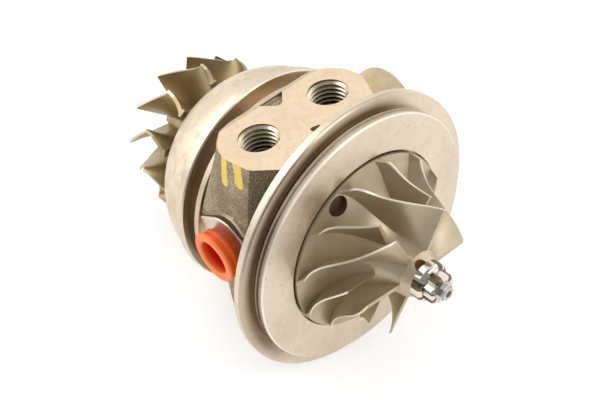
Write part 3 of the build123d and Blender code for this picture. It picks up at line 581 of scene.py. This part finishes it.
def cut_colour(graph, place, x, z, ports, grime, clouds):
    """Machined metal: warmer on the top face, clouded, scratched, speckled, and dark with painted shade deep
    in the ports.
    """
    worn = graph.ramp(grime, 0.3, 0.7)
    colour = graph.mix(worn, rgb(224, 208, 186), rgb(238, 223, 202))
    top_face = graph.both(graph.within(x, top_span), graph.over(z, top_cut))
    colour = graph.mix(top_face, colour, graph.mix(worn, rgb(238, 212, 178), rgb(246, 222, 190)))
    colour = graph.mix(graph.both(clouds, 0.3), colour, rgb(206, 184, 154))

    drawn_out = graph.node("ShaderNodeVectorMath", (place, (1.0, 0.05, 1.0)), operation="MULTIPLY")
    scratches = graph.ramp(graph.noise(drawn_out, 2600, 2, 0.5, 0.3), 0.68, 0.74)
    scratches = graph.both(scratches, graph.ramp(grime, 0.45, 0.6), 0.4)
    colour = graph.mix(scratches, colour, rgb(176, 154, 124))
    # Painted shade deep inside the two ports of the top face
    deep_shade_in_ports = graph.both(ports, graph.under(z, port_shade_below))
    colour = graph.mix(deep_shade_in_ports, colour, rgb(60, 49, 33))
    specks = placed(graph, speckle, place, 1.3 * mm, 0.15)[0]
    return graph.mix(graph.both(specks, 0.45), colour, rgb(140, 112, 84))


def flange_shade_and_stains(graph, colour, x, y, z, radius):
    """Machined metal with painted shade in the grooves, a darker tint on the body's land, a brown stain with
    painted shade in the step, and a painted highlight on the spigot's edge.
    """
    # Painted shade in the clamp groove beside the turbine flange, and a darker tint on the body's land next
    # to it
    groove = graph.both(graph.within(x, clamp_groove), graph.under(radius, clamp_groove_radius))
    groove = graph.both(groove, graph.fade(y, groove_across, 0.4, 0.0))
    colour = graph.mix(groove, colour, rgb(128, 106, 74))
    land = graph.both(graph.within(x, body_land), graph.over(radius, body_land_radius), 0.3)
    colour = graph.mix(land, colour, rgb(150, 130, 100))

    # The step beside the spigot, browner upwards and on the side of the plugged port: a brown stain with
    # painted shade from the spigot in it
    step = graph.both(graph.within(x, flange_step), graph.over(radius, flange_step_radius))
    step_stain_and_shade = graph.fade(z, step_up, 0.0, 0.85)
    step_stain_and_shade = graph.both(step_stain_and_shade, graph.fade(y, step_across, 1.0, 0.0))
    step_stain_and_shade = graph.both(step_stain_and_shade, graph.fade(radius, step_out, 1.0, 0.4))
    colour = graph.mix(graph.both(step, step_stain_and_shade), colour, rgb(104, 80, 48))

    # Painted shade in the seal groove of the spigot, and a painted highlight on the turned edge in front of
    # it
    seal_groove_shade = graph.both(graph.within(x, spigot_groove), graph.within(radius, spigot_groove_radii))
    seal_groove_shade = graph.both(seal_groove_shade, graph.fade(y, plug_side, 0.5, 0.0))
    colour = graph.mix(seal_groove_shade, colour, rgb(92, 70, 42))
    # Painted highlight along the spigot's turned edge
    on_spigot = graph.over(radius, spigot_radius - spigot_edge_width)
    edge = graph.both(on_spigot, graph.within(x, (spigot_edge, spigot_front)))
    return graph.mix(edge, colour, rgb(255, 246, 226))


def spigot_metal(graph, metal, x, y, radius):
    """How metallic the housing is: less on the spigot's outer wall, least of all away from the plug."""
    on_spigot = graph.over(radius, spigot_radius - spigot_edge_width)
    wall = graph.both(graph.within(x, (spigot_foot, spigot_front)), on_spigot)
    return graph.blend(wall, metal, graph.fade(y, plug_side, 0.6, 0.2))


def paint_stroke(graph, x, z, edge, top, foot, width):
    """A brush stroke down a wall, from (x, z) to (x, z), round at its foot and uneven at its sides."""
    wander = width * 0.35
    solid_to = width * 0.44
    bare_from = width * 0.52
    down = graph.math("DIVIDE", graph.math("SUBTRACT", z, foot[1]), top[1] - foot[1])
    middle = graph.math("MULTIPLY_ADD", down, top[0] - foot[0], foot[0])
    across = graph.math("SUBTRACT", x, middle)
    below = graph.math("MINIMUM", graph.math("SUBTRACT", z, foot[1] + width / 2), 0.0)
    reach = graph.distance(across, below)
    reach = graph.math("MULTIPLY_ADD", graph.math("SUBTRACT", edge, 0.5), wander, reach)
    return graph.math("SUBTRACT", 1.0, graph.ramp(reach, solid_to, bare_from))


def marking_paint(graph, place, x, y, z, machined):
    """The two strokes of yellow paint below the near oil port: where they are, and their colour."""
    uneven = graph.noise(place, 500, 3, 0.6)
    strokes = [paint_stroke(graph, x, z, uneven, *stroke) for stroke in paint_strokes]
    on_wall = graph.both(graph.under(y, painted_side), graph.math("SUBTRACT", 1.0, machined))
    paint = graph.both(graph.math("MAXIMUM", *strokes), on_wall)
    return paint, graph.mix(uneven, rgb(255, 208, 72), rgb(255, 230, 128))


def housing_metal():
    """The casting: rough grey-brown skin, and satin champagne metal where it was machined."""
    material, graph, shader = new_material("housing_metal")
    place = graph.place()
    x, y, z = graph.split(place)
    radius = graph.distance(y, z)
    skin = placed(graph, cast_skin, place, 0.8 * mm)
    rings = placed(graph, turned_marks, place, 0.25 * mm)[0]
    grime = graph.noise(place, 60, 4, 0.6)
    clouds = graph.ramp(graph.noise(place, 240, 4, 0.65, 0.8), 0.42, 0.68)
    machined, ports = machined_places(graph, x, y, z)

    rough_skin = skin_colour(graph, x, y, z, skin, clouds)
    cut = cut_colour(graph, place, x, z, ports, grime, clouds)
    cut = flange_shade_and_stains(graph, cut, x, y, z, radius)
    colour = graph.mix(machined, rough_skin, cut)
    metal = spigot_metal(graph, graph.blend(machined, 0.6, 1.0), x, y, radius)
    rough = graph.blend(machined, 0.55, graph.fade(grime, (0.3, 0.7), 0.28, 0.4))
    ring_height = 0.008
    height = graph.blend(machined, skin["Height"], graph.both(rings, ring_height))

    paint_rise = 0.25
    paint, yellow = marking_paint(graph, place, x, y, z, machined)
    dress(
        graph,
        shader,
        base_color=graph.mix(paint, colour, yellow),
        metallic=graph.both(metal, graph.math("SUBTRACT", 1.0, paint)),
        roughness=graph.blend(paint, rough, 0.4),
        normal=bump(graph, graph.math("MULTIPLY_ADD", paint, paint_rise, height), sand_depth),
    )
    return material


def wheel_metal():
    """Cast wheel metal, blasted dull, with bright edges, a dark ground spot and a brown nose hole."""
    material, graph, shader = new_material("wheel_metal")
    place = graph.place()
    x, y, z = graph.split(place)
    tip = placed(graph, blade_edge, place, *wheel_edge)[0]
    tone = placed(graph, slow_tone, place, 90)["Share"]
    grain = placed(graph, fine_grain, place, 2600)[0]

    spot_y = graph.math("SUBTRACT", y, balance_spot[0])
    spot_z = graph.math("SUBTRACT", z, balance_spot[1])
    ground = graph.under(graph.distance(spot_y, spot_z), balance_spot_radius)
    ground = graph.both(ground, graph.under(x, balance_spot_top), 0.85)
    lean_y = graph.math("MULTIPLY", y, math.cos(nose_hole_lean))
    sideways = graph.math("MULTIPLY_ADD", z, math.sin(nose_hole_lean), lean_y)
    from_hole = graph.distance(graph.math("SUBTRACT", x, nose_hole_x), sideways)
    nose_hole = graph.both(graph.under(from_hole, nose_hole_radius), graph.over(z, 0.0), 0.9)

    colour = graph.mix(tone, rgb(190, 175, 146), rgb(208, 193, 165))
    colour = graph.mix(tip, colour, rgb(240, 228, 206))
    colour = graph.mix(ground, colour, rgb(84, 58, 30))
    colour = graph.mix(nose_hole, colour, rgb(172, 132, 80))
    dress(
        graph,
        shader,
        base_color=colour,
        metallic=0.72,
        roughness=graph.blend(tip, 0.38, 0.4),
        normal=bump(graph, grain, cast_depth),
    )
    return material


def turbine_metal():
    """Heat-resisting alloy, cast and brushed, olive-brown, with brighter machined blade edges."""
    material, graph, shader = new_material("turbine_metal")
    place = graph.place()
    _, y, z = graph.split(place)
    radius = graph.distance(y, z)
    edge = placed(graph, blade_edge, place, *turbine_edge)[0]
    edge = graph.both(edge, graph.over(radius, turbine_edge_from))
    edge = graph.math("MAXIMUM", edge, graph.over(radius, turbine_rim))
    tone = placed(graph, slow_tone, place, 90)["Share"]
    grain = placed(graph, fine_grain, place, 2600)[0]
    colour = graph.mix(tone, rgb(164, 143, 103), rgb(184, 163, 123))
    dress(
        graph,
        shader,
        base_color=graph.mix(edge, colour, rgb(216, 198, 164)),
        metallic=0.85,
        roughness=0.38,
        normal=bump(graph, grain, cast_depth),
    )
    return material


def shield_sheet():
    """Satin sheet with faint drawing marks round it and blotches from the heat."""
    material, graph, shader = new_material("shield_sheet")
    place = graph.place()
    rings = placed(graph, turned_marks, place, 0.35 * mm)[0]
    tone = placed(graph, slow_tone, place, 70)["Share"]
    blotches = graph.ramp(graph.noise(place, 230, 4, 0.65, 0.6), 0.42, 0.66)
    colour = graph.mix(tone, rgb(226, 209, 184), rgb(241, 226, 202))
    dress(
        graph,
        shader,
        base_color=graph.mix(graph.both(blotches, 0.4), colour, rgb(206, 184, 152)),
        metallic=1.0,
        roughness=graph.blend(blotches, 0.38, 0.54),
        normal=bump(graph, rings, turned_depth),
    )
    return material


def nut_metal():
    """Polished nut with painted dark reflections in streaks, other ones on its collar than on its points."""
    material, graph, shader = new_material("bright_nut")
    x, y, z = graph.split(graph.place())
    other_streaks = 7.3
    turn = graph.math("ARCTAN2", z, y)
    row = graph.math("MULTIPLY_ADD", graph.over(x, nut_collar_end), other_streaks, turn)
    # Painted dark reflections of the nut's facets, in streaks round it
    painted_reflection = graph.ramp(graph.noise_along(row, 1.7, 1.0), 0.5, 0.54)
    dress(
        graph,
        shader,
        base_color=graph.mix(painted_reflection, rgb(232, 225, 212), rgb(112, 98, 78)),
        metallic=1.0,
        roughness=graph.blend(painted_reflection, 0.08, 0.2),
    )
    return material


def turned_metal(name, dark, light, roughness):
    """Turned and ground metal with fine rings round the shaft's line, and a dark spot of painted shade on
    the shaft's end for its centre drilling.
    """
    material, graph, shader = new_material(name)
    place = graph.place()
    x, y, z = graph.split(place)
    rings = placed(graph, turned_marks, place, 0.3 * mm)[0]
    tone = placed(graph, slow_tone, place, 220)
    colour = graph.mix(tone["Share"], dark, light)
    # Painted shade on the shaft's end that stands for its centre drilling
    drilling_shade = graph.under(graph.distance(y, z), drilling_radius)
    drilling_shade = graph.both(drilling_shade, graph.over(x, drilling_from))
    dress(
        graph,
        shader,
        base_color=graph.mix(drilling_shade, colour, rgb(88, 70, 58)),
        metallic=1.0,
        roughness=graph.blend(tone["Noise"], roughness, roughness * 1.5),
        normal=bump(graph, rings, turned_depth),
    )
    return material


def thread_metal():
    """Bright cut thread with painted shade that darkens it towards the bottom of the ports in the top face.
    """
    material, graph, shader = new_material("cut_thread")
    place = graph.place()
    _, y, z = graph.split(place)
    tone = placed(graph, slow_tone, place, 220)
    # Painted shade towards the bottom of the oil ports' threads
    deep_shade = graph.math("SUBTRACT", 1.0, graph.ramp(z, *thread_shade_span))
    in_top_ports = graph.both(graph.over(z, oil_thread_bottom), graph.under(y, oil_thread_side))
    colour = graph.mix(tone["Share"], rgb(228, 212, 182), rgb(244, 230, 202))
    dress(
        graph,
        shader,
        base_color=graph.mix(graph.both(deep_shade, in_top_ports, 0.75), colour, rgb(60, 50, 34)),
        metallic=1.0,
        roughness=graph.blend(tone["Noise"], 0.2, 0.3),
    )
    return material


def seal_rubber():
    """Moulded black rubber with a slight change of tone and fine grain."""
    material, graph, shader = new_material("seal_rubber")
    place = graph.place()
    tone = placed(graph, slow_tone, place, 130)
    grain = placed(graph, fine_grain, place, 1600)[0]
    dress(
        graph,
        shader,
        base_color=graph.mix(tone["Share"], rgb(30, 29, 28), rgb(38, 36, 34)),
        roughness=graph.blend(tone["Noise"], 0.55, 0.715),
        normal=bump(graph, grain, moulded_depth),
    )
    return material


def plug_plastic():
    """Soft orange plastic, with painted shade that makes it redder inside the cup and deeper towards its
    seat.
    """
    material, graph, shader = new_material("orange_plastic")
    place = graph.place()
    x, y, z = graph.split(place)
    tone = placed(graph, slow_tone, place, 130)
    grain = placed(graph, fine_grain, place, 1600)[0]
    across = graph.math("SUBTRACT", x, side_port[0])
    up = graph.math("SUBTRACT", z, side_port[2])
    radius = graph.distance(across, up)
    outside = graph.over(radius, shank_radius)
    neck = graph.both(outside, graph.ramp(y, *neck_span), 0.8)
    # Painted shade: deeper red inside the cup and towards the seat
    cup_shade = graph.both(graph.under(radius, cup_radius), graph.ramp(y, *cup_span))
    seat_shade = graph.both(outside, graph.ramp(y, *seat_span), 0.85)
    colour = graph.mix(tone["Share"], rgb(255, 138, 74), rgb(255, 122, 56))
    colour = graph.mix(neck, colour, rgb(252, 104, 30))
    colour = graph.mix(cup_shade, colour, rgb(222, 40, 4))
    colour = graph.mix(seat_shade, colour, rgb(150, 50, 18))
    dress(
        graph,
        shader,
        base_color=colour,
        roughness=graph.blend(tone["Noise"], 0.35, 0.45),
        normal=bump(graph, grain, moulded_depth),
    )
    return material


finishes = {
    "cast_housing": housing_metal(),
    "shield_sheet": shield_sheet(),
    "turbine_alloy": turbine_metal(),
    "wheel_aluminium": wheel_metal(),
    "ground_steel": turned_metal("ground_steel", rgb(196, 192, 186), rgb(214, 210, 204), 0.2),
    "ring_steel": turned_metal("ring_steel", rgb(150, 146, 140), rgb(170, 166, 160), 0.3),
    "bearing_bronze": turned_metal("bearing_bronze", rgb(190, 140, 80), rgb(206, 158, 96), 0.28),
    "bright_nut": nut_metal(),
    "seal_rubber": seal_rubber(),
    "orange_plastic": plug_plastic(),
}


def add_thread(name, mouth, outwards, radius, depth, pitch, ridge, material):
    """A helical ridge on the wall of a threaded hole in the housing, from its mouth inwards."""
    mouth = Vector(mouth)
    axis = Vector(outwards)
    aside = axis.orthogonal().normalized()
    steps = 48
    turns = (depth - pitch) / pitch
    in_wall = radius + 0.05 * mm
    crest = radius - ridge
    half_root = 0.46 * pitch
    half_crest = 0.08 * pitch
    shape = bmesh.new()
    corners = []
    for out, down in (
        (in_wall, -half_root),
        (crest, -half_crest),
        (crest, half_crest),
        (in_wall, half_root),
    ):
        corners.append(shape.verts.new(mouth - axis * (0.5 * pitch + down) + aside * out))
    face = shape.faces.new(corners)
    bmesh.ops.spin(
        shape,
        geom=[face, *face.verts, *face.edges],
        cent=mouth,
        axis=axis,
        dvec=-axis * pitch / steps,
        angle=math.tau * turns,
        steps=round(steps * turns),
        use_merge=False,
        use_duplicate=False,
    )
    bmesh.ops.recalc_face_normals(shape, faces=shape.faces)
    piece = keep(shape, name, material, smooth=30)
    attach(piece, "housing")


add_camera()
add_room()
add_floor()
for lamp in lamps:
    add_lamp(*lamp)

cut_thread = thread_metal()
for row in threads:
    add_thread(*row, cut_thread)

for node in nodes.values():
    for slot in node.material_slots:
        slot.material = finishes[slot.material.name.split(".")[0]]
